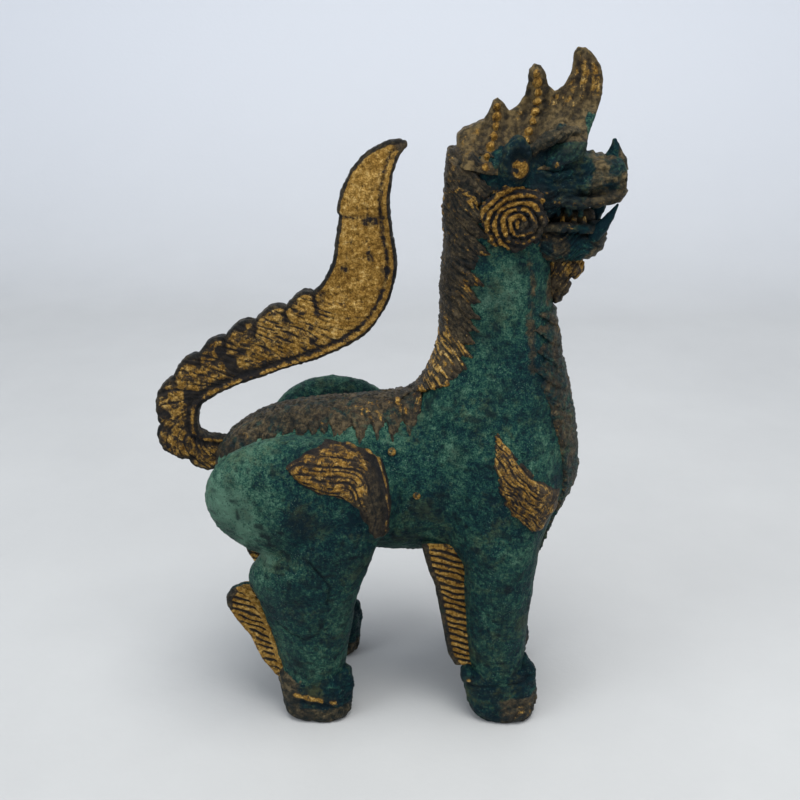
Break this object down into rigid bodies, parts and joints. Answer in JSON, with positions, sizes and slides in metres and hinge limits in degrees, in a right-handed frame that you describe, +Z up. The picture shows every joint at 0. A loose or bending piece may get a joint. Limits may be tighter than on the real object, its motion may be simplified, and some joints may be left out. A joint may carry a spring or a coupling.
{
  "type": "standing temple lion statue",
  "caption": "Standing guardian lion figure in cast bronze: long neck, crested head with open mouth, ribbed leg fins and a leaf-shaped tail curling up from the rump.",
  "frame": {"origin": "middle of the footprint box, on the plane that the paws stand on", "axes": "+X towards the head, +Y to the figure's left, +Z up"},
  "size_m": [0.178, 0.0775, 0.26],
  "materials": {
    "verdigris_bronze": "cast bronze with a mottled green and blue-black patina",
    "worn_gilt": "worn dark gold leaf over bronze",
    "brown_bronze": "dark brown bronze with gold rubbed on the high strokes",
    "dark_bronze": "blue-black patinated bronze",
    "plain_brass": "plain metal, not seen",
    "fired_clay": "baked casting core, not seen"
  },
  "bodies": {
    "root": {"body_casting": "verdigris_bronze", "clay_core": "fired_clay", "head_casting": "verdigris_bronze", "lower_jaw": "dark_bronze", "tongue": "brown_bronze", "nose_horn": "dark_bronze", "crest_comb": "worn_gilt", "beard_tuft": "brown_bronze", "nape_mane": "brown_bronze", "back_mane": "brown_bronze", "chest_mane": "brown_bronze", "eye_left": "worn_gilt", "ear_left": "dark_bronze", "cheek_curl_left": "worn_gilt", "upper_fang_left": "dark_bronze", "lower_tusk_left": "dark_bronze", "foreleg_left": "verdigris_bronze", "hindleg_left": "verdigris_bronze", "paw_front_left": "dark_bronze", "paw_rear_left": "dark_bronze", "fin_front_left": "worn_gilt", "fin_rear_left": "worn_gilt", "shoulder_flame_left": "worn_gilt", "haunch_flame_left": "worn_gilt", "leg_dowel_front_left": "plain_brass", "leg_dowel_rear_left": "plain_brass", "core_pin_front_left": "worn_gilt", "core_pin_rear_left": "worn_gilt", "eye_right": "worn_gilt", "ear_right": "dark_bronze", "cheek_curl_right": "worn_gilt", "upper_fang_right": "dark_bronze", "lower_tusk_right": "dark_bronze", "foreleg_right": "verdigris_bronze", "hindleg_right": "verdigris_bronze", "paw_front_right": "dark_bronze", "paw_rear_right": "dark_bronze", "fin_front_right": "worn_gilt", "fin_rear_right": "worn_gilt", "shoulder_flame_right": "worn_gilt", "haunch_flame_right": "worn_gilt", "leg_dowel_front_right": "plain_brass", "leg_dowel_rear_right": "plain_brass", "core_pin_front_right": "worn_gilt", "core_pin_rear_right": "worn_gilt", "tail": "worn_gilt", "tail_tenon": "plain_brass", "neck_dowel": "plain_brass"}
  },
  "joints": []
}
